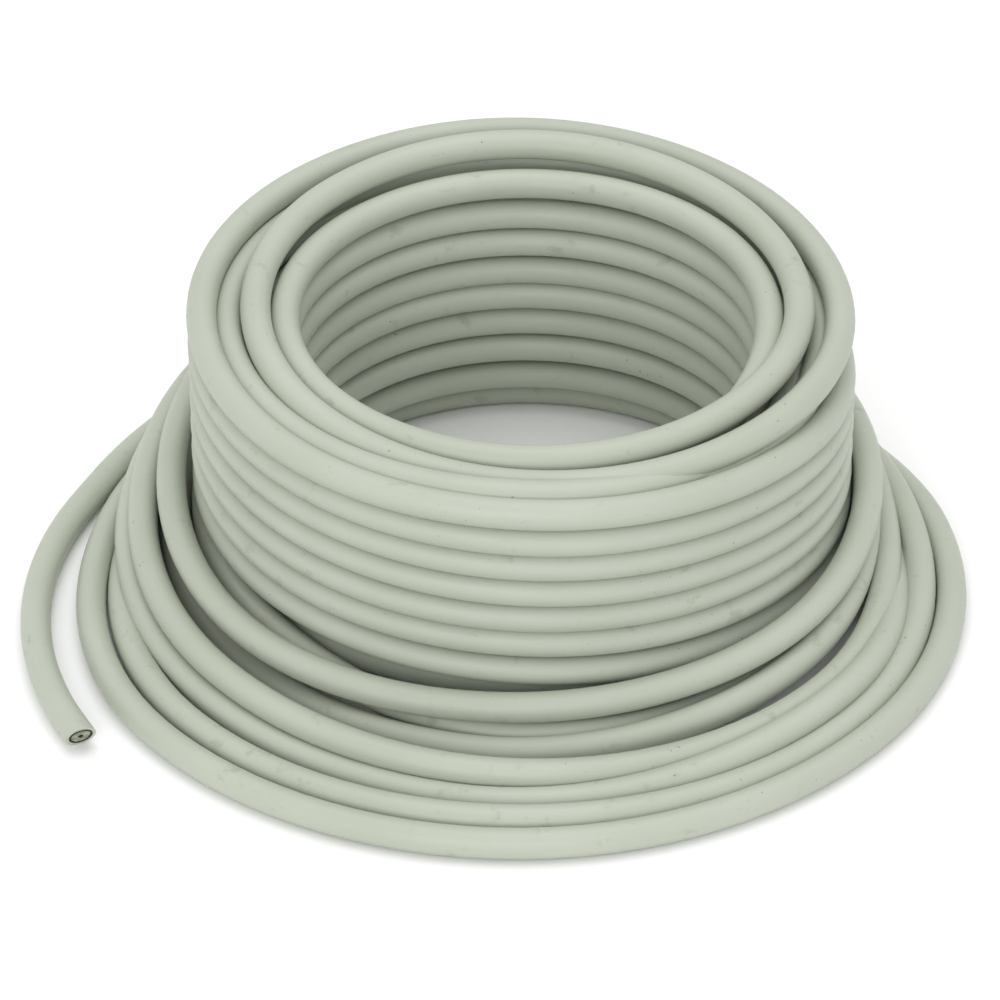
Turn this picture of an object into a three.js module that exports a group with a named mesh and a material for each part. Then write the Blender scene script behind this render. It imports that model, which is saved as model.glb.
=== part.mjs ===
// A free-standing coil of round coaxial cable, lying on its flat side.
// Four layers are wound side by side as an upright barrel with an open bore. The outermost turns have
// slipped off it. They lie round its foot as a skirt of wider turns, bunched up behind the barrel and
// fanned out in front. The free end lies on the floor beside them.
// Millimetres, +Z up, front at -Y. The origin is on the floor, under the middle of the whole thing.
import * as THREE from "three";

// The cable, from the outside in.
const CABLE_OD = 6.8;
const JACKET_WALL = 0.75;
const SCREEN_WALL = 0.25;
const LAYER_CLEARANCE = 0.05;
const CONDUCTOR_DIAMETER = 1.02;

// The barrel. Its top is lower in front than behind, more so at the rim than at the bore.
const BORE_RADIUS = 50.9;
const LAYERS = 4;
const LAYER_PITCH = 5.8;
const BORE_ROWS = 10;
const BORE_TOP_HEIGHT = 60.2;
const BORE_TOP_TILT = 2.3;
const RIM_TOP_HEIGHT = 60.7;
const RIM_TOP_TILT = 5.6;
const BARREL_ROWS = 4;

// The skirt. Its outermost turn is a circle on the floor. The barrel stands towards the back of it, and
// pushes it out there. The topmost loose turn hugs the barrel, low in front and high behind.
const SKIRT_RADIUS = 96.5;
const SKIRT_OFFSET = 22.5;
const SKIRT_BULGE = 10.5;
const SKIRT_ROWS = 6;
const SKIRT_TOP_FRONT = 12;
const SKIRT_TOP_BACK = 30;
const FOOT_ROWS = 7;

// The free end's centre line on the floor. Each point is an angle in degrees round the barrel, from +X
// towards +Y, and the gap between the outermost loose turn's surface and the free end's. It leaves at
// the back left, swings away from the skirt and ends in a cut at the front left.
const TAIL_ROUTE = [
  [140, 0.30],
  [145, 0.37],
  [150, 0.52],
  [155, 0.72],
  [160, 0.96],
  [165, 1.25],
  [170, 1.57],
  [175, 2.42],
  [180, 3.55],
  [185, 4.58],
  [190, 5.53],
  [195, 6.39],
  [200, 7.16],
  [205, 7.84],
  [210, 8.44],
  [215, 8.94],
  [220, 9.40],
];

// How round things are drawn.
const COIL_SEGMENTS = 44;
const CABLE_SIDES = 10;
const CONDUCTOR_SIDES = 8;
const TAIL_STEPS = 14;

const cableRadius = CABLE_OD / 2;
const crestHalf = cableRadius * Math.tan(Math.PI / 8);
const boreLine = BORE_RADIUS + cableRadius;
const rimLine = boreLine + (LAYERS - 1) * LAYER_PITCH;

const jacket = new THREE.MeshStandardMaterial({ color: 0xc3c8bd, roughness: 0.45, metalness: 0.0 });
const braid = new THREE.MeshStandardMaterial({ color: 0x55584f, roughness: 0.5, metalness: 0.8 });
const foam = new THREE.MeshStandardMaterial({ color: 0xd6d8cd, roughness: 0.6, metalness: 0.0 });
const copper = new THREE.MeshStandardMaterial({ color: 0x6b4a38, roughness: 0.4, metalness: 0.9 });

// The outermost loose turn's distance from the barrel's axis.
function skirtReach(angle) {
  const across = SKIRT_OFFSET * Math.cos(angle);
  const circle = Math.sqrt(SKIRT_RADIUS ** 2 - across ** 2) - SKIRT_OFFSET * Math.sin(angle);
  return circle + SKIRT_BULGE * ((1 + Math.sin(angle)) / 2) ** 4;
}

// Centres of the turns along a straight run, as (radius, height).
function turnsBetween(first, last, count) {
  const turns = [];
  for (let index = 0; index < count; index += 1) {
    turns.push(first.clone().lerp(last, index / (count - 1)));
  }
  return turns;
}

// Each turn shows one flat crest, tangent to the round cable, on the side it faces.
function crest(turn, facing) {
  const along = new THREE.Vector2(facing.y, -facing.x);
  const top = turn.clone().addScaledVector(facing, cableRadius);
  return [
    top.clone().addScaledVector(along, -crestHalf),
    top.clone().addScaledVector(along, crestHalf),
  ];
}

// The groove between two neighbours lies halfway, as deep as two octagons leave it.
function groove(turn, next, facing) {
  const half = turn.distanceTo(next) / 2;
  const height = THREE.MathUtils.clamp(cableRadius + crestHalf - half, crestHalf, cableRadius);
  return turn.clone().lerp(next, 0.5).addScaledVector(facing, height);
}

// A run of neighbouring turns that all face one way, square to the line from the first to the last.
function run(turns) {
  const line = turns[turns.length - 1].clone().sub(turns[0]).normalize();
  const facing = new THREE.Vector2(-line.y, line.x);
  const points = [];
  turns.forEach((turn, index) => {
    points.push(...crest(turn, facing));
    if (index < turns.length - 1) {
      points.push(groove(turn, turns[index + 1], facing));
    }
  });
  return points;
}

// The outline of the coil, cut through at one angle round the barrel. It goes up the bore, over the top,
// down the barrel and the skirt to the floor, and back under the foot.
function coilOutline(angle) {
  const rise = Math.sin(angle);
  const boreFoot = new THREE.Vector2(boreLine, cableRadius);
  const boreTop = new THREE.Vector2(boreLine, BORE_TOP_HEIGHT + BORE_TOP_TILT * rise);
  const rimTop = new THREE.Vector2(rimLine, RIM_TOP_HEIGHT + RIM_TOP_TILT * rise);
  const skirtTop = new THREE.Vector2(
    rimLine + CABLE_OD,
    THREE.MathUtils.lerp(SKIRT_TOP_FRONT, SKIRT_TOP_BACK, (1 + rise) / 2),
  );
  const skirtFoot = new THREE.Vector2(skirtReach(angle), cableRadius);
  const rimFoot = new THREE.Vector2(rimLine, skirtTop.y + cableRadius);
  return [
    ...run(turnsBetween(boreFoot, boreTop, BORE_ROWS)),
    ...run(turnsBetween(boreTop, rimTop, LAYERS)),
    ...run(turnsBetween(rimTop, rimFoot, BARREL_ROWS + 2)).slice(0, -2),
    ...run(turnsBetween(skirtTop, skirtFoot, SKIRT_ROWS)),
    ...run(turnsBetween(skirtFoot, boreFoot, FOOT_ROWS)),
  ];
}

// All the coiled cable as one turned solid, with its bore open and its turns on every side. The turning
// is drawn to the outline at each angle, because the skirt isn't concentric with the barrel.
function coilGeometry() {
  const outline = coilOutline(0).reverse();
  outline.push(outline[0].clone());
  const geometry = new THREE.LatheGeometry(outline, COIL_SEGMENTS);
  geometry.rotateX(Math.PI / 2);
  const position = geometry.attributes.position;
  for (let segment = 0; segment <= COIL_SEGMENTS; segment += 1) {
    const first = segment * outline.length;
    const angle = Math.atan2(position.getY(first), position.getX(first));
    const points = coilOutline(angle).reverse();
    points.push(points[0].clone());
    points.forEach((point, index) => {
      position.setXYZ(first + index, point.x * Math.cos(angle), point.x * Math.sin(angle), point.y);
    });
  }
  geometry.computeVertexNormals();
  return geometry;
}

// One layer of the cable along the free end: a tube, or a rod where its inner radius is nothing.
function layerGeometry(path, outerRadius, innerRadius, sides) {
  const section = new THREE.Shape();
  const hole = new THREE.Path();
  for (let side = 0; side < sides; side += 1) {
    const angle = (side / sides) * Math.PI * 2;
    const [c, s] = [Math.cos(angle), Math.sin(angle)];
    if (side === 0) {
      section.moveTo(outerRadius * c, outerRadius * s);
      hole.moveTo(innerRadius * c, innerRadius * s);
    } else {
      section.lineTo(outerRadius * c, outerRadius * s);
      hole.lineTo(innerRadius * c, innerRadius * s);
    }
  }
  section.closePath();
  hole.closePath();
  if (innerRadius > 0) {
    section.holes.push(hole);
  }
  return new THREE.ExtrudeGeometry(section, {
    steps: TAIL_STEPS,
    extrudePath: path,
    bevelEnabled: false,
    curveSegments: 1,
  });
}

function tailPath() {
  const points = TAIL_ROUTE.map(([degrees, gap]) => {
    const angle = THREE.MathUtils.degToRad(degrees);
    const radius = skirtReach(angle) + CABLE_OD + gap;
    return new THREE.Vector3(radius * Math.cos(angle), radius * Math.sin(angle), cableRadius);
  });
  return new THREE.CatmullRomCurve3(points, false, "centripetal");
}

function piece(name, geometry, material) {
  const mesh = new THREE.Mesh(geometry, material);
  mesh.name = name;
  return mesh;
}

const path = tailPath();
const screenOuter = cableRadius - JACKET_WALL - LAYER_CLEARANCE;
const foamOuter = screenOuter - SCREEN_WALL - LAYER_CLEARANCE;
const conductorOuter = CONDUCTOR_DIAMETER / 2;
const foamInner = conductorOuter + LAYER_CLEARANCE;

const coil = new THREE.Group();
coil.add(
  piece("cable_coil", coilGeometry(), jacket),
  piece("cable_tail", layerGeometry(path, cableRadius, cableRadius - JACKET_WALL, CABLE_SIDES), jacket),
  piece("cut_screen", layerGeometry(path, screenOuter, screenOuter - SCREEN_WALL, CABLE_SIDES), braid),
  piece("cut_dielectric", layerGeometry(path, foamOuter, foamInner, CABLE_SIDES), foam),
  piece("centre_conductor", layerGeometry(path, conductorOuter, 0, CONDUCTOR_SIDES), copper),
);

// The barrel's axis stands off the origin, so that the origin is under the middle of coil and free end.
const bounds = new THREE.Box3().setFromObject(coil);
const middle = bounds.getCenter(new THREE.Vector3());
coil.position.set(-middle.x, -middle.y, -bounds.min.z);

const part = new THREE.Group();
part.add(coil);
part.updateMatrixWorld(true);

export default part;
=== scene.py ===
"""Dresses the coaxial cable coil: one long cable wound as the real one lies, with its snipped end."""

import logging
import math
from dataclasses import dataclass, field
from enum import Enum

import bmesh
import bpy
from mathutils import Matrix, Vector


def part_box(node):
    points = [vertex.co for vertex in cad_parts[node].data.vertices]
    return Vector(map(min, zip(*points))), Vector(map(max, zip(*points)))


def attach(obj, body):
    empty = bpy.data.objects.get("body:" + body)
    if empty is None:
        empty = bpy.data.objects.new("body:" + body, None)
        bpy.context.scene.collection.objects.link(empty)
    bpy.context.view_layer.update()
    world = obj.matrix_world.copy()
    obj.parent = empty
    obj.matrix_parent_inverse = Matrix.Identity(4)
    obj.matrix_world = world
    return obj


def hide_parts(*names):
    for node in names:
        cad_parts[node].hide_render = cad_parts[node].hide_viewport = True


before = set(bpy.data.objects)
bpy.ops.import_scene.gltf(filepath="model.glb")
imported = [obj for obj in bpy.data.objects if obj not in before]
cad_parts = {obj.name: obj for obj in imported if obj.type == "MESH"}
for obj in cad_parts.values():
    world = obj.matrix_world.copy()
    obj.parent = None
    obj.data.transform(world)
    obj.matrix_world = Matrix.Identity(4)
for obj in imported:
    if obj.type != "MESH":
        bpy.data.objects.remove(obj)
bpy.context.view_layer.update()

log = logging.getLogger("cable_coil")

MM = 0.001
CABLE_OD = 6.8 * MM
CABLE_RADIUS = CABLE_OD / 2
JACKET_WALL = 0.75 * MM
SCREEN_WALL = 0.25 * MM
CONDUCTOR_RADIUS = 0.51 * MM
SKIRT_FRONT = 119.0 * MM
SKIRT_RADIUS = 96.5
SKIRT_OFFSET = 22.5
SKIRT_BULGE = 10.5
STEPS_A_TURN = 8
FLOOR_LINE = 3.4  # the centre line's height in millimetres, where the cable lies on the floor
STEP = 2 * math.pi / STEPS_A_TURN


# --------------------------------------------------------------------------------------------------
# Shader maths
# --------------------------------------------------------------------------------------------------


class Value:
    """A number that a shader node gives, with the maths that the finishes use."""

    def __init__(self, finish: "Finish", socket: bpy.types.NodeSocket) -> None:
        """Wraps one output.

        Args:
            finish: the finish whose node tree holds the output.
            socket: the output itself.
        """
        self.finish = finish
        self.socket = socket

    def _maths(self, operation: str, *values: object) -> "Value":
        """Adds one Math node.

        Args:
            operation: the node's operation.
            values: its inputs, in order.

        Returns:
            The node's result.
        """
        inputs = dict(enumerate(values))
        return self.finish.node("ShaderNodeMath", {"operation": operation}, inputs)

    def __add__(self, other: object) -> "Value":
        """Adds a number or value."""
        return self._maths("ADD", self, other)

    def __radd__(self, other: object) -> "Value":
        """Adds to a number."""
        return self._maths("ADD", other, self)

    def __sub__(self, other: object) -> "Value":
        """Takes a number or value away."""
        return self._maths("SUBTRACT", self, other)

    def __rsub__(self, other: object) -> "Value":
        """Takes this value away from a number."""
        return self._maths("SUBTRACT", other, self)

    def __mul__(self, other: object) -> "Value":
        """Multiplies by a number or value."""
        return self._maths("MULTIPLY", self, other)

    def __rmul__(self, other: object) -> "Value":
        """Multiplies a number by this value."""
        return self._maths("MULTIPLY", other, self)

    def above(self, edge: float, width: float) -> "Value":
        """Gives a soft step.

        Args:
            edge: where the step is halfway.
            width: how wide the step is.

        Returns:
            0 below the step and 1 above it.
        """
        return self.finish.node(
            "ShaderNodeMapRange",
            {"interpolation_type": "SMOOTHSTEP"},
            {"Value": self, "From Min": edge - width / 2, "From Max": edge + width / 2},
        )


class Finish:
    """One material, built from nodes."""

    def __init__(self, name: str) -> None:
        """Starts a material with an empty node tree.

        Args:
            name: the material's name.
        """
        self.material = bpy.data.materials.new(name)
        self.material.use_nodes = True
        self.tree = self.material.node_tree
        self.tree.nodes.clear()

    def node(
        self,
        kind: str,
        settings: dict[str, object],
        inputs: dict[object, object],
        output: object = 0,
    ) -> Value:
        """Adds any node.

        Args:
            kind: the node's type.
            settings: its properties.
            inputs: numbers, colours or values for its sockets, by name or place.
            output: the name or place of the output that is wanted.

        Returns:
            That output.
        """
        node = self.tree.nodes.new(kind)
        for key, setting in settings.items():
            setattr(node, key, setting)
        for key, given in inputs.items():
            if isinstance(given, Value):
                self.tree.links.new(given.socket, node.inputs[key])
            else:
                node.inputs[key].default_value = given
        return Value(self, node.outputs[output])

    def noise(self, where: Value, scale: float, detail: float, roughness: float = 0.5) -> Value:
        """Adds a noise texture.

        Args:
            where: the coordinates.
            scale: its scale.
            detail: its octaves.
            roughness: how much the fine octaves count.

        Returns:
            The noise, about 0.5 on average.
        """
        return self.node(
            "ShaderNodeTexNoise",
            {},
            {"Vector": where, "Scale": scale, "Detail": detail, "Roughness": roughness},
        )

    def stretched(self, where: Value, scale: tuple[float, float, float]) -> Value:
        """Scales coordinates along each axis.

        Args:
            where: the coordinates.
            scale: the factor of each axis.

        Returns:
            The scaled coordinates.
        """
        return self.node("ShaderNodeMapping", {}, {"Vector": where, "Scale": scale})

    def blended(self, factor: Value, low: object, high: object) -> Value:
        """Mixes two colours.

        Args:
            factor: 0 for the first colour, 1 for the second.
            low: the first colour.
            high: the second colour.

        Returns:
            The mix.
        """
        return self.node(
            "ShaderNodeMix",
            {"data_type": "RGBA"},
            {"Factor": factor, 6: low, 7: high},
            output=2,
        )

    def surface(self, inputs: dict[str, object]) -> bpy.types.Material:
        """Ends the material with a Principled shader.

        Args:
            inputs: the shader's inputs.

        Returns:
            The finished material.
        """
        shader = self.node("ShaderNodeBsdfPrincipled", {}, inputs)
        target = self.tree.nodes.new("ShaderNodeOutputMaterial")
        self.tree.links.new(shader.socket, target.inputs["Surface"])
        return self.material


def linear(red: float, green: float, blue: float) -> tuple[float, float, float, float]:
    """Turns a display colour into a scene colour.

    Args:
        red: display red, 0 to 255.
        green: display green, 0 to 255.
        blue: display blue, 0 to 255.

    Returns:
        The linear colour, with alpha.
    """

    def channel(value: float) -> float:
        """Turns one display value into a linear one."""
        share = value / 255
        return share / 12.92 if share <= 0.04045 else ((share + 0.055) / 1.055) ** 2.4

    return channel(red), channel(green), channel(blue), 1.0


@dataclass(frozen=True)
class JacketPlastic:
    """Satin off-white plastic with a faint green-grey cast, extruded along the cable."""

    base: tuple[float, float, float] = (181, 187, 173)
    shade: tuple[float, float, float] = (171, 177, 162)
    grime: tuple[float, float, float] = (128, 130, 108)
    speck: tuple[float, float, float] = (70, 66, 52)

    def build(self) -> bpy.types.Material:
        """Makes the material.

        Returns:
            The jacket's material.
        """
        finish = Finish("jacket_plastic")
        along = finish.node("ShaderNodeUVMap", {"uv_map": "run"}, {})
        place = finish.node("ShaderNodeTexCoord", {}, {}, output="Object")
        cloudy = finish.noise(place, 22.0, 3.0)
        drawn = finish.noise(finish.stretched(along, (900.0, 14.0, 1.0)), 1.0, 2.0)
        colour = finish.blended(
            (cloudy * 0.7 + drawn * 0.3).above(0.5, 0.5), linear(*self.shade), linear(*self.base)
        )
        scuffs = finish.noise(finish.stretched(place, (1.0, 1.0, 1.6)), 140.0, 6.0, 0.65)
        colour = finish.blended(scuffs.above(0.66, 0.12) * 0.30, colour, linear(*self.grime))
        specks = finish.noise(place, 900.0, 2.0, 0.5)
        patches = finish.noise(place, 30.0, 2.0).above(0.55, 0.2)
        dots = specks.above(0.745, 0.03) * patches * 0.7
        colour = finish.blended(dots, colour, linear(*self.speck))
        fine = finish.noise(place, 2600.0, 3.0, 0.6)
        dents = finish.noise(place, 210.0, 2.0)
        height = fine * 0.22 + drawn * 0.30 + dents * 0.48
        bump = finish.node(
            "ShaderNodeBump",
            {},
            {"Strength": 0.22, "Distance": 0.00012, "Height": height},
            output="Normal",
        )
        rough = 0.40 + cloudy * 0.10 + scuffs.above(0.6, 0.2) * 0.16
        return finish.surface(
            {
                "Base Color": colour,
                "Roughness": rough,
                "Normal": bump,
                "IOR": 1.5,
                "Specular IOR Level": 0.42,
            }
        )


@dataclass(frozen=True)
class BraidMetal:
    """Dull dark braid over foil, cut across."""

    bright: tuple[float, float, float] = (64, 66, 58)
    dark: tuple[float, float, float] = (22, 22, 18)

    def build(self) -> bpy.types.Material:
        """Makes the material.

        Returns:
            The screen's material.
        """
        finish = Finish("screen_braid")
        place = finish.node("ShaderNodeTexCoord", {}, {}, output="Object")
        strands = finish.noise(place, 4200.0, 3.0, 0.6)
        colour = finish.blended(strands.above(0.55, 0.2), linear(*self.dark), linear(*self.bright))
        bump = finish.node(
            "ShaderNodeBump",
            {},
            {"Strength": 0.6, "Distance": 0.00008, "Height": strands},
            output="Normal",
        )
        return finish.surface(
            {"Base Color": colour, "Metallic": 0.75, "Roughness": 0.42 + strands * 0.25, "Normal": bump}
        )


@dataclass(frozen=True)
class FoamPlastic:
    """Matt pale foam, a little dirty from the cutters."""

    clean: tuple[float, float, float] = (158, 161, 142)
    dirty: tuple[float, float, float] = (96, 98, 80)

    def build(self) -> bpy.types.Material:
        """Makes the material.

        Returns:
            The dielectric's material.
        """
        finish = Finish("dielectric_foam")
        place = finish.node("ShaderNodeTexCoord", {}, {}, output="Object")
        cells = finish.node(
            "ShaderNodeTexVoronoi",
            {},
            {"Vector": place, "Scale": 3800.0},
            output="Distance",
        )
        smear = finish.noise(place, 420.0, 4.0)
        colour = finish.blended(smear.above(0.5, 0.4), linear(*self.dirty), linear(*self.clean))
        bump = finish.node(
            "ShaderNodeBump",
            {},
            {"Strength": 0.5, "Distance": 0.0001, "Height": cells},
            output="Normal",
        )
        return finish.surface({"Base Color": colour, "Roughness": 0.62 + smear * 0.2, "Normal": bump})


@dataclass(frozen=True)
class ConductorMetal:
    """Cut copper-coloured wire, darkened."""

    bright: tuple[float, float, float] = (70, 52, 42)
    dark: tuple[float, float, float] = (24, 20, 17)

    def build(self) -> bpy.types.Material:
        """Makes the material.

        Returns:
            The conductor's material.
        """
        finish = Finish("conductor_metal")
        place = finish.node("ShaderNodeTexCoord", {}, {}, output="Object")
        tarnish = finish.noise(place, 1600.0, 3.0)
        colour = finish.blended(tarnish.above(0.5, 0.3), linear(*self.dark), linear(*self.bright))
        return finish.surface(
            {"Base Color": colour, "Metallic": 0.9, "Roughness": 0.3 + tarnish * 0.3}
        )


class Finishes(Enum):
    """The finishes of the object, by the record's slot."""

    JACKET = "jacket"
    SCREEN = "screen"
    DIELECTRIC = "dielectric"
    CONDUCTOR = "conductor"


# --------------------------------------------------------------------------------------------------
# The cable's route
# --------------------------------------------------------------------------------------------------


@dataclass(frozen=True)
class Turn:
    """One turn of the cable, from the right, round the back and the left, to the front.

    Its reach from the barrel's axis and its height are in millimetres, at eight even angles.
    """

    name: str
    reach: tuple[float, ...]
    height: tuple[float, ...]
    rings: int = 120


TOP_AND_OUTSIDE: tuple[Turn, ...] = (
    Turn(
        "bore_edge",
        (55.5, 55.7, 54.8, 53.9, 53.3, 53.6, 54.7, 57.7),
        (59.5, 61.8, 62.7, 62.2, 60.9, 59.2, 58.2, 59.0),
    ),
    Turn(
        "crown",
        (62.1, 62.0, 61.5, 60.6, 59.7, 60.3, 61.4, 66.0),
        (62.3, 66.8, 69.3, 67.8, 64.4, 59.8, 56.2, 56.8),
    ),
    Turn(
        "rim",
        (71.3, 71.9, 71.7, 71.7, 71.8, 71.7, 71.7, 71.7),
        (59.4, 63.9, 66.7, 65.8, 63.2, 58.2, 55.5, 51.9),
    ),
    Turn("outside_2", (71.7,) * 8, (47.4, 52.0, 57.3, 57.8, 56.2, 52.2, 48.8, 45.4)),
    Turn("outside_3", (71.7,) * 8, (42.4, 47.2, 51.5, 51.7, 50.0, 45.8, 42.4, 39.0)),
    Turn("outside_4", (71.7,) * 8, (36.0, 40.0, 44.2, 45.0, 43.0, 39.1, 35.7, 32.4)),
    Turn("outside_5", (71.7,) * 8, (29.5, 32.9, 36.9, 37.9, 35.9, 32.1, 28.9, 26.0)),
    Turn("outside_6", (71.7,) * 8, (23.1, 26.1, 29.7, 30.9, 28.8, 25.2, 22.4, 19.1)),
    Turn("outside_7", (71.7,) * 8, (16.3, 19.2, 22.7, 23.6, 21.5, 18.1, 15.0, 11.0)),
    Turn(
        "loose_1",
        (72.0, 72.0, 72.4, 72.2, 72.0, 74.2, 80.2, 80.3),
        (9.0, 12.3, 15.6, 16.4, 14.6, 9.6, 3.4, 4.1),
    ),
    Turn(
        "loose_2",
        (77.6, 78.5, 78.2, 78.2, 79.2, 82.3, 86.9, 84.6),
        (6.0, 16.8, 21.8, 22.1, 9.3, 3.4, 3.5, 7.6),
    ),
    Turn(
        "loose_3",
        (78.6, 85.0, 79.0, 79.6, 79.7, 82.8, 79.6, 81.4),
        (13.6, 19.5, 28.6, 29.6, 22.4, 13.5, 10.3, 14.6),
    ),
    Turn(
        "loose_4",
        (78.8, 78.8, 84.6, 85.0, 86.0, 93.5, 99.2, 93.5),
        (20.9, 23.4, 24.9, 22.4, 16.3, 10.1, 7.0, 5.6),
    ),
    Turn(
        "loose_5",
        (82.4, 84.6, 85.2, 86.0, 89.1, 96.6, 104.9, 98.8),
        (9.0, 12.0, 17.0, 15.8, 10.3, 4.1, 3.6, 7.4),
    ),
    Turn(
        "loose_6",
        (83.2, 86.0, 86.0, 80.5, 88.4, 104.7, 112.3, 103.8),
        (3.4, 4.6, 10.0, 8.9, 3.7, 3.4, 4.6, 3.4),
    ),
    Turn(
        "loose_7",
        (88.4, 79.6, 79.6, 83.6, 94.9, 112.6, 118.9, 110.4),
        (6.6, 9.9, 10.2, 3.5, 3.4, 3.4, 3.4, 3.4),
    ),
)

TAIL_ROUTE: tuple[tuple[float, float], ...] = (
    (140, 0.30),
    (145, 0.37),
    (150, 0.52),
    (155, 0.72),
    (160, 0.96),
    (165, 1.25),
    (170, 1.57),
    (175, 2.42),
    (180, 3.55),
    (185, 4.58),
    (190, 5.53),
    (195, 6.39),
    (200, 7.16),
    (205, 7.84),
    (210, 8.44),
    (215, 8.94),
    (220, 9.40),
)

OUTERMOST_START: tuple[tuple[float, float], ...] = ((95.0, 3.4), (78.7, 3.4), (80.4, 3.4))


def skirt_reach(angle: float) -> float:
    """Gives the outermost loose turn's distance from the barrel's axis.

    Args:
        angle: the angle round the barrel, in radians.

    Returns:
        The distance in millimetres.
    """
    across = SKIRT_OFFSET * math.cos(angle)
    circle = math.sqrt(SKIRT_RADIUS**2 - across**2) - SKIRT_OFFSET * math.sin(angle)
    return circle + SKIRT_BULGE * ((1 + math.sin(angle)) / 2) ** 4


def bore_turns() -> list[Turn]:
    """Gives the turns of the innermost layer, from the floor up.

    Returns:
        The turns under the bore's edge.
    """
    heights = (3.4, 9.9, 17.9, 25.2, 32.6, 39.2, 47.0, 54.3, 61.2)
    stands = (3.9, 0.6, 0.0, 0.4, -0.2, 0.3, 0.0, 0.3)
    lean = (-2.9, -0.9, 0.0, -0.2, -0.9, -2.2, -2.8, -1.9)
    reach = (55.5, 55.6, 54.9, 54.0, 53.5, 53.7, 54.6, 55.2)
    turns = []
    for row, stand in enumerate(stands):
        share = heights[row] / 62
        climb = heights[row + 1] - heights[row]
        rise = tuple(
            max(
                FLOOR_LINE,
                heights[row] + share * lean[step] + (0.2 * climb if step == 7 else 0.0),
            )
            for step in range(STEPS_A_TURN)
        )
        turns.append(Turn(f"bore_{row + 1}", tuple(value + stand for value in reach), rise, rings=100))
    return turns


def hidden_turns() -> list[Turn]:
    """Gives the two layers that hide inside the barrel.

    Returns:
        The turns of the third layer going up, the one that shows under the crown, and the second
        layer going down.
    """
    turns = []
    for row in range(8):
        turns.append(hidden_turn(f"third_{row + 1}", 66.4, 3.4 + row * 6.45, 6.45))
    turns.append(
        Turn(
            "under_crown",
            (67.0, 67.3, 67.5, 66.8, 66.0, 66.2, 66.4, 64.5),
            (54.8, 58.5, 61.0, 61.0, 60.2, 58.2, 56.9, 53.0),
        )
    )
    for row in range(7):
        turns.append(hidden_turn(f"second_{row + 1}", 60.9, 50.2 - row * 6.6, -6.6))
    return turns


def hidden_turn(name: str, reach: float, start: float, climb: float) -> Turn:
    """Gives one even turn inside the winding.

    Args:
        name: the turn's name.
        reach: its distance from the axis.
        start: its height at the right.
        climb: how far it climbs in one turn.

    Returns:
        The turn.
    """
    heights = []
    for step in range(STEPS_A_TURN):
        angle = step * STEP
        level = start + climb * step / STEPS_A_TURN
        tilt = level / 60 * (4.0 * math.sin(angle) - 2.0 * math.cos(angle) + 2.0)
        heights.append(max(FLOOR_LINE, level + tilt))
    return Turn(name, (reach,) * 8, tuple(heights), rings=45)


def between(before: float, start: float, end: float, after: float, share: float) -> float:
    """Draws a smooth line through even points.

    Args:
        before: the value one point earlier.
        start: the value where the stretch starts.
        end: the value where it ends.
        after: the value one point later.
        share: how far along the stretch.

    Returns:
        The value there.
    """
    slope = end - before
    bend = 2 * before - 5 * start + 4 * end - after
    twist = 3 * (start - end) + after - before
    return start + 0.5 * share * (slope + share * (bend + share * twist))


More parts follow.
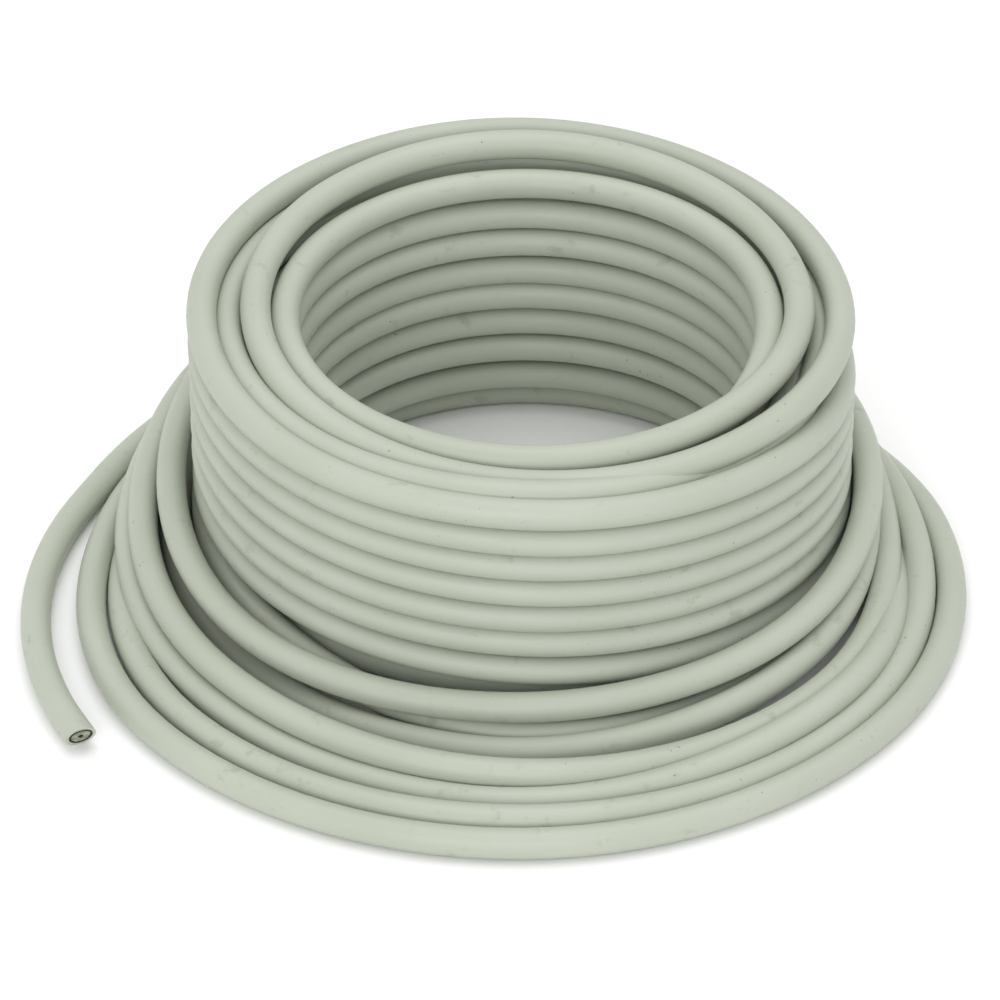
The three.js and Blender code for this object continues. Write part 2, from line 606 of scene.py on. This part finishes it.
@dataclass
class Winding:
    """The whole route of the cable, from its hidden inner end to its free end."""

    axis: Vector
    points: list[Vector] = field(default_factory=list)

    def place(self, angle: float, reach: float, height: float) -> Vector:
        """Gives a point of the route.

        Args:
            angle: the angle round the barrel, in radians.
            reach: the distance from the axis, in millimetres.
            height: the height over the floor, in millimetres.

        Returns:
            The point, in metres.
        """
        return Vector(
            (
                self.axis.x + reach * MM * math.cos(angle),
                self.axis.y + reach * MM * math.sin(angle),
                height * MM,
            )
        )

    def knots(self) -> tuple[list[tuple[float, float]], list[int]]:
        """Gathers every turn's eight places, and the rings each stretch gets.

        Returns:
            The (reach, height) of each place, and the rings from each place to the next.
        """
        places: list[tuple[float, float]] = []
        rings: list[int] = []
        for turn in (*hidden_turns(), *bore_turns(), *TOP_AND_OUTSIDE):
            places.extend(zip(turn.reach, turn.height))
            rings.extend([max(5, round(turn.rings / STEPS_A_TURN))] * STEPS_A_TURN)
        places.extend(OUTERMOST_START)
        rings.extend([15, 15, 15])
        return places, rings

    def wind(self) -> None:
        """Lays the route's points: the wound turns, then the free end over the floor."""
        places, rings = self.knots()
        tail = self.tail_places()
        join = [(math.degrees(STEP) * index, *place) for index, place in enumerate(places)]
        last_angle = join[-1][0]
        turns_done = 360 * round((last_angle - 90) / 360)
        for index in range(len(join) - 1):
            before = join[max(index - 1, 0)]
            start, end = join[index], join[index + 1]
            after = join[index + 2] if index + 2 < len(join) else (turns_done + 140, *tail[0][1:])
            for ring in range(rings[index]):
                share = ring / rings[index]
                angle = start[0] + (end[0] - start[0]) * share
                reach = between(before[1], start[1], end[1], after[1], share)
                height = between(before[2], start[2], end[2], after[2], share)
                self.points.append(self.place(math.radians(angle), reach, max(height, FLOOR_LINE)))
        run = [join[-2], join[-1]] + [(turns_done + angle, reach, height) for angle, reach, height in tail]
        self.lay_tail(run)

    def tail_places(self) -> list[tuple[float, float, float]]:
        """Gives the free end's places.

        Returns:
            Each place's angle in degrees, reach and height in millimetres.
        """
        return [
            (angle, skirt_reach(math.radians(angle)) + CABLE_OD / MM + gap, FLOOR_LINE)
            for angle, gap in TAIL_ROUTE
        ]

    def lay_tail(self, run: list[tuple[float, float, float]]) -> None:
        """Adds the smooth stretch from the back of the skirt to the cut end.

        Args:
            run: the places to pass, the first one already behind.
        """
        spots = [self.place(math.radians(angle), reach, height) for angle, reach, height in run]
        for index in range(1, len(spots) - 1):
            before, start, end = spots[index - 1], spots[index], spots[index + 1]
            after = spots[index + 2] if index + 2 < len(spots) else end + (end - start)
            span = (end - start).length
            into = (end - before) * (span / (span + (start - before).length))
            out = (after - start) * (span / (span + (after - end).length))
            count = max(3, round(span / (3.9 * MM)))
            for ring in range(count):
                t = ring / count
                self.points.append(
                    start * (2 * t**3 - 3 * t**2 + 1)
                    + into * (t**3 - 2 * t**2 + t)
                    + end * (3 * t**2 - 2 * t**3)
                    + out * (t**3 - t**2)
                )
        self.points.append(spots[-1])

    def length(self) -> float:
        """Gives the route's length.

        Returns:
            The length in metres.
        """
        return sum((end - start).length for start, end in zip(self.points, self.points[1:]))


# --------------------------------------------------------------------------------------------------
# The pieces
# --------------------------------------------------------------------------------------------------


@dataclass(frozen=True)
class Snip:
    """The slanted cut across the free end."""

    centre: Vector
    along: Vector
    face: Vector

    def shift(self, point: Vector) -> Vector:
        """Slides a point along the cable onto the cut.

        Args:
            point: a point at the end of the cable.

        Returns:
            The point where the cut passes.
        """
        reach = (self.centre - point).dot(self.face) / self.along.dot(self.face)
        return point + self.along * reach


@dataclass
class CableJacket:
    """The jacket of the whole cable, as one tube with an open, snipped end."""

    winding: Winding
    sides: int = 24
    socket_depth: float = 6.0 * MM

    def snip(self) -> Snip:
        """Gives the cut at the free end.

        Returns:
            The cut.
        """
        points = self.winding.points
        along = (points[-1] - points[-3]).normalized()
        across = along.cross(Vector((0, 0, 1))).normalized()
        face = (along * 0.87 + across * 0.11 - Vector((0, 0, 0.48))).normalized()
        return Snip(points[-1].copy(), along, face)

    def ring(self, centre: Vector, along: Vector, radius: float) -> list[Vector]:
        """Gives one ring of the tube.

        Args:
            centre: the ring's centre.
            along: the cable's direction there.
            radius: the ring's radius.

        Returns:
            The ring's points.
        """
        side = along.cross(Vector((0, 0, 1))).normalized()
        up = side.cross(along)
        ring = []
        for index in range(self.sides):
            angle = 2 * math.pi * index / self.sides
            ring.append(centre + side * (radius * math.cos(angle)) + up * (radius * math.sin(angle)))
        return ring

    def build(self, material: bpy.types.Material) -> bpy.types.Object:
        """Makes the jacket.

        Args:
            material: the jacket's material.

        Returns:
            The jacket's object.
        """
        points = self.winding.points
        mesh = bmesh.new()
        layer = mesh.loops.layers.uv.new("run")
        snip = self.snip()
        rings: list[list[bmesh.types.BMVert]] = []
        runs: list[float] = []
        run = 0.0
        for index, point in enumerate(points):
            if index:
                run += (point - points[index - 1]).length
            ahead = points[min(index + 1, len(points) - 1)]
            behind = points[max(index - 1, 0)]
            spots = self.ring(point, (ahead - behind).normalized(), CABLE_RADIUS)
            if index == len(points) - 1:
                spots = [snip.shift(spot) for spot in self.ring(point, snip.along, CABLE_RADIUS)]
            rings.append([mesh.verts.new(spot) for spot in spots])
            runs.append(run)
        inner = CABLE_RADIUS - JACKET_WALL
        lip = [snip.shift(spot) for spot in self.ring(points[-1], snip.along, inner)]
        rings.append([mesh.verts.new(spot) for spot in lip])
        runs.append(run + JACKET_WALL)
        floor_centre = points[-1] - snip.along * self.socket_depth
        rings.append([mesh.verts.new(spot) for spot in self.ring(floor_centre, snip.along, inner)])
        runs.append(run + JACKET_WALL + self.socket_depth)
        for index in range(len(rings) - 1):
            self.band(mesh, layer, rings[index], rings[index + 1], runs[index], runs[index + 1])
        self.cap(mesh, layer, list(reversed(rings[0])), points[0], runs[0])
        self.cap(mesh, layer, rings[-1], floor_centre, runs[-1])
        bmesh.ops.recalc_face_normals(mesh, faces=mesh.faces[:])
        data = bpy.data.meshes.new("coiled_cable")
        mesh.to_mesh(data)
        mesh.free()
        data.materials.append(material)
        piece = bpy.data.objects.new("coiled_cable", data)
        bpy.context.scene.collection.objects.link(piece)
        smooth(piece, 35)
        return piece

    def band(
        self,
        mesh: bmesh.types.BMesh,
        layer: bmesh.types.BMLayerItem,
        first: list[bmesh.types.BMVert],
        second: list[bmesh.types.BMVert],
        start: float,
        end: float,
    ) -> None:
        """Joins two rings with faces.

        Args:
            mesh: the mesh under way.
            layer: its UV layer.
            first: the ring behind.
            second: the ring ahead.
            start: the run of the cable at the ring behind.
            end: the run at the ring ahead.
        """
        for index in range(self.sides):
            after = (index + 1) % self.sides
            face = mesh.faces.new((first[index], first[after], second[after], second[index]))
            around = (index / self.sides, (index + 1) / self.sides)
            corners = ((around[0], start), (around[1], start), (around[1], end), (around[0], end))
            for loop, corner in zip(face.loops, corners):
                loop[layer].uv = corner

    def cap(
        self,
        mesh: bmesh.types.BMesh,
        layer: bmesh.types.BMLayerItem,
        ring: list[bmesh.types.BMVert],
        centre: Vector,
        run: float,
    ) -> None:
        """Closes a ring.

        Args:
            mesh: the mesh under way.
            layer: its UV layer.
            ring: the ring.
            centre: the middle of the cap.
            run: the run of the cable there.
        """
        middle = mesh.verts.new(centre)
        for index in range(self.sides):
            face = mesh.faces.new((ring[index], ring[(index + 1) % self.sides], middle))
            for loop in face.loops:
                loop[layer].uv = (index / self.sides, run)


@dataclass
class CutEnd:
    """What shows in the snipped end: the screen, the dielectric and the centre conductor."""

    snip: Snip
    depth: float = 5.0 * MM

    def rod(self, name: str, radius: float, proud: float, sides: int) -> bpy.types.Object:
        """Makes a round rod in the end of the cable, cut on the slant.

        Args:
            name: the piece's name.
            radius: its radius.
            proud: how far it stands out of the cut.
            sides: how many sides it has.

        Returns:
            The rod.
        """
        bpy.ops.object.select_all(action="DESELECT")
        middle = self.snip.centre - self.snip.along * (self.depth / 2 - 4 * MM)
        bpy.ops.mesh.primitive_cylinder_add(
            vertices=sides,
            radius=radius,
            depth=self.depth + 8 * MM,
            location=middle,
            rotation=self.snip.along.to_track_quat("Z", "Y").to_euler(),
        )
        piece = bpy.context.object
        piece.name = piece.data.name = name
        bpy.ops.object.transform_apply(location=True, rotation=True, scale=True)
        bpy.ops.object.mode_set(mode="EDIT")
        bpy.ops.mesh.select_all(action="SELECT")
        bpy.ops.mesh.bisect(
            plane_co=self.snip.centre + self.snip.along * proud,
            plane_no=self.snip.face,
            use_fill=True,
            clear_outer=True,
        )
        bpy.ops.mesh.select_all(action="SELECT")
        bpy.ops.mesh.bisect(
            plane_co=self.snip.centre - self.snip.along * self.depth,
            plane_no=-self.snip.along,
            use_fill=True,
            clear_outer=True,
        )
        bpy.ops.object.mode_set(mode="OBJECT")
        return piece

    def hollow(self, piece: bpy.types.Object, radius: float, sides: int) -> None:
        """Bores a rod through, to leave a tube.

        Args:
            piece: the rod.
            radius: the bore's radius.
            sides: how many sides the bore has.
        """
        cutter = self.rod("bore_cutter", radius, 4 * MM, sides)
        cutter.data.transform(Matrix.Translation(-self.snip.along * 2 * MM))
        taken = piece.modifiers.new("bore", "BOOLEAN")
        taken.operation = "DIFFERENCE"
        taken.object = cutter
        bpy.ops.object.select_all(action="DESELECT")
        bpy.context.view_layer.objects.active = piece
        piece.select_set(True)
        bpy.ops.object.modifier_apply(modifier="bore")
        bpy.data.objects.remove(cutter)

    def soften(self, piece: bpy.types.Object, width: float) -> None:
        """Rounds the sharp rims of a piece.

        Args:
            piece: the piece.
            width: how wide the rounding is.
        """
        bevel = piece.modifiers.new("rim", "BEVEL")
        bevel.width = width
        bevel.segments = 2
        bevel.angle_limit = math.radians(40)
        bpy.ops.object.select_all(action="DESELECT")
        bpy.context.view_layer.objects.active = piece
        piece.select_set(True)
        bpy.ops.object.modifier_apply(modifier="rim")
        smooth(piece, 35)

    def build(self, looks: dict[Finishes, bpy.types.Material]) -> list[bpy.types.Object]:
        """Makes the three pieces.

        Args:
            looks: the materials.

        Returns:
            The screen, the dielectric and the conductor.
        """
        foam_radius = CABLE_RADIUS - JACKET_WALL - SCREEN_WALL - 0.22 * MM
        screen = self.rod("screen_end", CABLE_RADIUS - JACKET_WALL - 0.03 * MM, 0.1 * MM, 48)
        self.hollow(screen, foam_radius + 0.03 * MM, 48)
        foam = self.rod("dielectric_end", foam_radius, 0.02 * MM, 40)
        self.hollow(foam, CONDUCTOR_RADIUS + 0.03 * MM, 16)
        self.soften(foam, 0.12 * MM)
        wire = self.rod("conductor_end", CONDUCTOR_RADIUS, 0.25 * MM, 16)
        self.soften(wire, 0.1 * MM)
        smooth(screen, 35)
        pieces = [screen, foam, wire]
        slots = (Finishes.SCREEN, Finishes.DIELECTRIC, Finishes.CONDUCTOR)
        for piece, slot in zip(pieces, slots):
            piece.data.materials.clear()
            piece.data.materials.append(looks[slot])
        return pieces


def smooth(piece: bpy.types.Object, degrees: float) -> None:
    """Shades a piece smooth, but for its sharp edges.

    Args:
        piece: the piece.
        degrees: the angle past which an edge stays sharp.
    """
    bpy.ops.object.select_all(action="DESELECT")
    bpy.context.view_layer.objects.active = piece
    piece.select_set(True)
    bpy.ops.object.shade_smooth_by_angle(angle=math.radians(degrees))


# --------------------------------------------------------------------------------------------------
# The studio
# --------------------------------------------------------------------------------------------------


@dataclass(frozen=True)
class Studio:
    """A plain pale floor, soft light all round, and the camera at the photograph's angle."""

    middle: Vector
    elevation: float = 34.0
    distance: float = 1.2
    pixels_a_metre: float = 4460.0

    def camera(self) -> None:
        """Places the camera."""
        slope = math.radians(self.elevation)
        data = bpy.data.cameras.new("camera")
        data.sensor_width = 36.0
        data.lens = 36.0 * self.pixels_a_metre * self.distance / 1000
        data.clip_start = 0.05
        data.clip_end = 20.0
        eye = bpy.data.objects.new("camera", data)
        eye.location = self.middle + Vector((0, -math.cos(slope), math.sin(slope))) * self.distance
        eye.rotation_euler = (math.pi / 2 - slope, 0.0, 0.0)
        bpy.context.scene.collection.objects.link(eye)
        bpy.context.scene.camera = eye

    def floor(self) -> None:
        """Lays the floor."""
        bpy.ops.object.select_all(action="DESELECT")
        bpy.ops.mesh.primitive_plane_add(size=6.0, location=(0, 0, 0))
        ground = bpy.context.object
        ground.name = "studio_floor"
        finish = Finish("studio_white")
        place = finish.node("ShaderNodeTexCoord", {}, {}, output="Object")
        faint = finish.noise(place, 3.0, 2.0)
        colour = finish.blended(faint, (0.93, 0.93, 0.93, 1), (0.95, 0.95, 0.95, 1))
        ground.data.materials.append(finish.surface({"Base Color": colour, "Roughness": 0.9}))

    def lamp(self, name: str, place: Vector, size: float, power: float) -> None:
        """Hangs one square soft light that faces the object.

        Args:
            name: the light's name.
            place: where it hangs.
            size: its side.
            power: its power.
        """
        data = bpy.data.lights.new(name, "AREA")
        data.energy = power
        data.size = size
        light = bpy.data.objects.new(name, data)
        light.location = place
        light.rotation_euler = (self.middle - place).to_track_quat("-Z", "Y").to_euler()
        bpy.context.scene.collection.objects.link(light)

    def light(self) -> None:
        """Lights the studio."""
        world = bpy.data.worlds.new("studio_world")
        world.use_nodes = True
        sky = world.node_tree.nodes["Background"]
        sky.inputs["Color"].default_value = (1.0, 1.0, 1.0, 1.0)
        sky.inputs["Strength"].default_value = 0.84
        bpy.context.scene.world = world
        self.lamp("top_light", Vector((0.1, 0.25, 1.5)), 1.3, 8.0)
        self.lamp("front_light", Vector((-0.3, -1.5, 0.7)), 0.9, 9.0)
        view = bpy.context.scene.view_settings
        view.view_transform = "Standard"
        view.look = "None"

    def build(self) -> None:
        """Sets up everything round the object."""
        self.camera()
        self.floor()
        self.light()


def dress(piece: bpy.types.Object, slot: Finishes, *nodes: str) -> None:
    """Ties a piece to the frame.

    Args:
        piece: the piece.
        slot: not used.
        nodes: the nodes that it stands for.
    """
    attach(piece, "root")
    if nodes:
        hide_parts(*nodes)
    log.info("%s: %d faces", piece.name, len(piece.data.polygons))


def main() -> None:
    """Builds the coil and its studio."""
    logging.basicConfig(level=logging.INFO, format="%(name)s: %(message)s")
    low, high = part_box("cable_coil")
    axis = Vector(((low[0] + high[0]) / 2, low[1] + SKIRT_FRONT + CABLE_RADIUS, 0.0))
    Studio(axis + Vector((-4.2 * MM, -22.5 * MM, 26.1 * MM))).build()

    looks = {
        Finishes.JACKET: JacketPlastic().build(),
        Finishes.SCREEN: BraidMetal().build(),
        Finishes.DIELECTRIC: FoamPlastic().build(),
        Finishes.CONDUCTOR: ConductorMetal().build(),
    }
    winding = Winding(axis + Vector((0.8 * MM, 0.0, 0.0)))
    winding.wind()
    jacket = CableJacket(winding)
    cable = jacket.build(looks[Finishes.JACKET])
    dress(cable, Finishes.JACKET, "cable_coil", "cable_tail")
    ends = CutEnd(jacket.snip()).build(looks)
    for piece, slot, node in zip(
        ends,
        (Finishes.SCREEN, Finishes.DIELECTRIC, Finishes.CONDUCTOR),
        ("cut_screen", "cut_dielectric", "centre_conductor"),
    ):
        dress(piece, slot, node)


if __name__ == "__main__":
    main()
